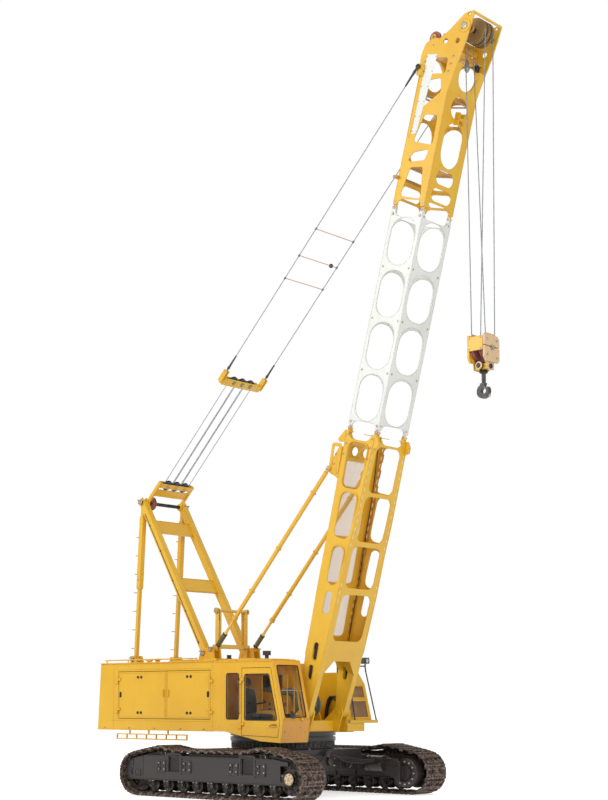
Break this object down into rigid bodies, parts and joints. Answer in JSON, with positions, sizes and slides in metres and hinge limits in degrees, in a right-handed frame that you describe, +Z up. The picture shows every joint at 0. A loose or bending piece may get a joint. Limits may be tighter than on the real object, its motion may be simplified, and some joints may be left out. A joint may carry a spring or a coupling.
{
  "type": "crawler crane",
  "caption": "Diesel-electric crawler crane with a plate boom, rear gantry, pendants, boom stops, cab, machinery house, tracked undercarriage and hook block.",
  "frame": {"origin": "on the ground under the slewing axis", "axes": "+X the way the crane faces, +Y its left, +Z up"},
  "size_m": [9.6241, 4.6, 15.3762],
  "materials": {
    "tracks": "worn dark brown steel",
    "frame_paint": "dark brown paint",
    "yellow_paint": "warm yellow paint",
    "white_paint": "off-white paint",
    "black_paint": "black paint",
    "dark_steel": "oiled blue-black steel",
    "bare_steel": "bare steel",
    "rope_wire": "steel wire rope",
    "red_sheave": "red primer",
    "tinted_glass": "lightly tinted",
    "black_vinyl": "black vinyl",
    "orange_plastic": "orange plastic"
  },
  "bodies": {
    "undercarriage": {"carbody": "frame_paint", "track_frame_right": "frame_paint", "track_frame_left": "frame_paint", "rollers_right": "tracks", "rollers_left": "tracks", "sprocket_right": "tracks", "sprocket_left": "tracks", "track_right": "tracks", "track_left": "tracks", "travel_drives": "frame_paint", "ring_gear": "dark_steel"},
    "upper": {"turntable": "yellow_paint", "counterweight": "yellow_paint", "engine": "bare_steel", "house_shell": "yellow_paint", "left_housing": "yellow_paint", "roof_deck": "yellow_paint", "side_step": "yellow_paint", "cab_shell": "yellow_paint", "cab_glass": "tinted_glass", "cab_seat": "black_vinyl", "cab_controls": "orange_plastic", "gantry_legs": "yellow_paint", "gantry_struts": "yellow_paint", "gantry_shaft": "dark_steel", "gantry_sheaves": "red_sheave", "rope_guide": "yellow_paint", "winches": "bare_steel", "handrail": "black_paint"},
    "cab_door": {"cab_door": "yellow_paint", "cab_door_glass": "tinted_glass"},
    "door_right_rear": {"door_right_rear": "yellow_paint"},
    "door_right_front": {"door_right_front": "yellow_paint"},
    "door_left_rear": {"door_left_rear": "yellow_paint"},
    "door_left_front": {"door_left_front": "yellow_paint"},
    "boom": {"boom_base": "yellow_paint", "boom_insert": "white_paint", "boom_head": "yellow_paint", "boom_mesh": "bare_steel", "head_sheaves": "dark_steel", "aux_sheave": "red_sheave"},
    "stop_rods": {"stop_rods": "yellow_paint"},
    "stop_tubes": {"stop_tubes": "yellow_paint"},
    "luff_ropes": {"fixed_block": "yellow_paint", "fixed_sheaves": "dark_steel", "luff_ropes": "rope_wire"},
    "luff_ropes_middle": {"luff_ropes_middle": "rope_wire"},
    "floating_block": {"floating_block": "yellow_paint", "floating_sheaves": "dark_steel", "pendants": "rope_wire"},
    "hook_block": {"hoist_ropes": "rope_wire", "hook_block": "yellow_paint", "hook_sheaves": "red_sheave"},
    "hook": {"hook": "dark_steel"}
  },
  "joints": [
    {"name": "slew", "type": "hinge", "parent": "undercarriage", "child": "upper", "pos_m": [0, 0, 1.13], "axis": [0, 0, 1], "continuous": true},
    {"name": "luff", "type": "hinge", "parent": "upper", "child": "boom", "pos_m": [1.15, 0, 1.72], "axis": [0, 1, 0], "range_deg": [-2.5, 44.7]},
    {"name": "stop_swing", "type": "hinge", "parent": "upper", "child": "stop_rods", "pos_m": [-1.435, 0, 3.06], "axis": [0, 1, 0], "range_deg": [-2.4, 33.8]},
    {"name": "stop_slide", "type": "slide", "parent": "stop_rods", "child": "stop_tubes", "axis": [0.6649, 0, 0.7469], "range_m": [-0.14, 1.928]},
    {"name": "luff_rope_swing", "type": "hinge", "parent": "upper", "child": "luff_ropes", "pos_m": [-3.74, 0, 6.44], "axis": [0, 1, 0], "range_deg": [-2.4, 38.04]},
    {"name": "luff_rope_middle_slide", "type": "slide", "parent": "luff_ropes", "child": "luff_ropes_middle", "axis": [0.6986, 0, 0.7155], "range_m": [-0.16, 2.466]},
    {"name": "luff_rope_slide", "type": "slide", "parent": "luff_ropes_middle", "child": "floating_block", "axis": [0.6986, 0, 0.7155], "range_m": [-0.16, 2.466]},
    {"name": "hoist_hang", "type": "hinge", "parent": "boom", "child": "hook_block", "pos_m": [5.23005, 0, 15.11825], "axis": [0, 1, 0], "range_deg": [-45, 2.8]},
    {"name": "hook_swivel", "type": "hinge", "parent": "hook_block", "child": "hook", "pos_m": [5.23005, 0, 8.36], "axis": [0, 0, 1], "continuous": true},
    {"name": "cab_door_hinge", "type": "hinge", "parent": "upper", "child": "cab_door", "pos_m": [0.27, -1.572, 1.9], "axis": [0, 0, -1], "range_deg": [0, 110]},
    {"name": "door_right_rear_hinge", "type": "hinge", "parent": "upper", "child": "door_right_rear", "pos_m": [-3.47, -1.572, 2], "axis": [0, 0, -1], "range_deg": [0, 110]},
    {"name": "door_right_front_hinge", "type": "hinge", "parent": "upper", "child": "door_right_front", "pos_m": [-0.62, -1.572, 2], "axis": [0, 0, 1], "range_deg": [0, 110]},
    {"name": "door_left_rear_hinge", "type": "hinge", "parent": "upper", "child": "door_left_rear", "pos_m": [-3.47, 1.572, 2], "axis": [0, 0, 1], "range_deg": [0, 110]},
    {"name": "door_left_front_hinge", "type": "hinge", "parent": "upper", "child": "door_left_front", "pos_m": [-0.62, 1.572, 2], "axis": [0, 0, -1], "range_deg": [0, 110]}
  ],
  "couplings": [
    {"joint": "stop_swing", "follows": "luff", "ratio": 0.74715},
    {"joint": "stop_slide", "follows": "luff", "m_per_rad": 2.4455},
    {"joint": "luff_rope_swing", "follows": "luff", "ratio": 0.84203},
    {"joint": "luff_rope_middle_slide", "follows": "luff", "m_per_rad": 3.1353},
    {"joint": "luff_rope_slide", "follows": "luff", "m_per_rad": 3.1353},
    {"joint": "hoist_hang", "follows": "luff", "ratio": -1}
  ]
}
